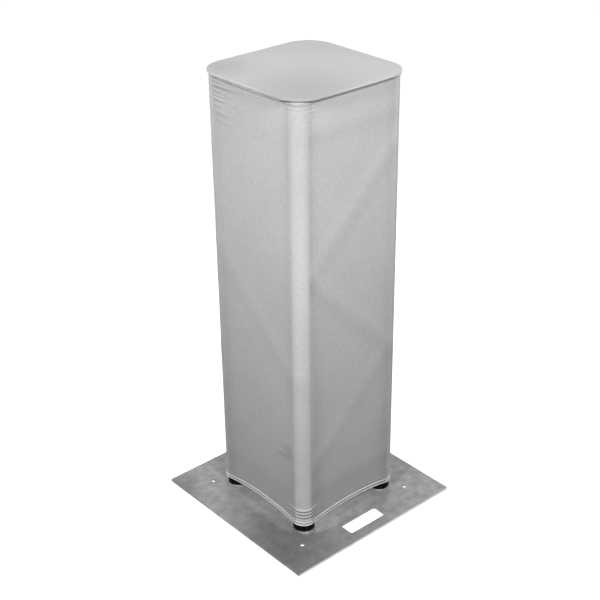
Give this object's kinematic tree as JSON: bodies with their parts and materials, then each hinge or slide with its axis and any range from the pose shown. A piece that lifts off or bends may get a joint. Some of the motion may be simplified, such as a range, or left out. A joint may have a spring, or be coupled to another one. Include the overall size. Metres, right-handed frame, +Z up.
{
  "type": "lighting truss tower",
  "caption": "Free-standing square truss tower on a metal base plate with a hand slot, closed by a round-cornered top plate and dressed in a pale stretch cloth cover.",
  "frame": {"origin": "centre of the base plate's underside, on the floor", "axes": "+Z up; -Y towards the side with the hand slot nearest the viewer; X along that hand slot"},
  "size_m": [0.475, 0.475, 1.044],
  "materials": {
    "base_plate": "dull brushed",
    "bolts": "zinc plated",
    "couplers": "turned",
    "foot_rings": "glossy black",
    "truss_tubes": "drawn tube",
    "pins": "ground",
    "top_plate": "pale grey, satin",
    "cover_cloth": "pale grey stretch knit",
    "cover_hems": "folded and double stitched"
  },
  "bodies": {
    "root": {"base_plate": "base_plate", "base_bolts": "bolts", "base_couplers": "couplers", "foot_rings": "foot_rings", "chord_front_left": "truss_tubes", "chord_front_right": "truss_tubes", "chord_back_right": "truss_tubes", "chord_back_left": "truss_tubes", "diagonals_front": "truss_tubes", "diagonals_right": "truss_tubes", "diagonals_back": "truss_tubes", "diagonals_left": "truss_tubes", "lower_end_frame": "truss_tubes", "upper_end_frame": "truss_tubes", "lower_pins": "pins", "upper_pins": "pins", "top_couplers": "couplers", "top_plate": "top_plate", "cover_sleeve": "cover_cloth", "cover_bottom_hem": "cover_hems", "cover_top_hem": "cover_hems"}
  },
  "joints": []
}
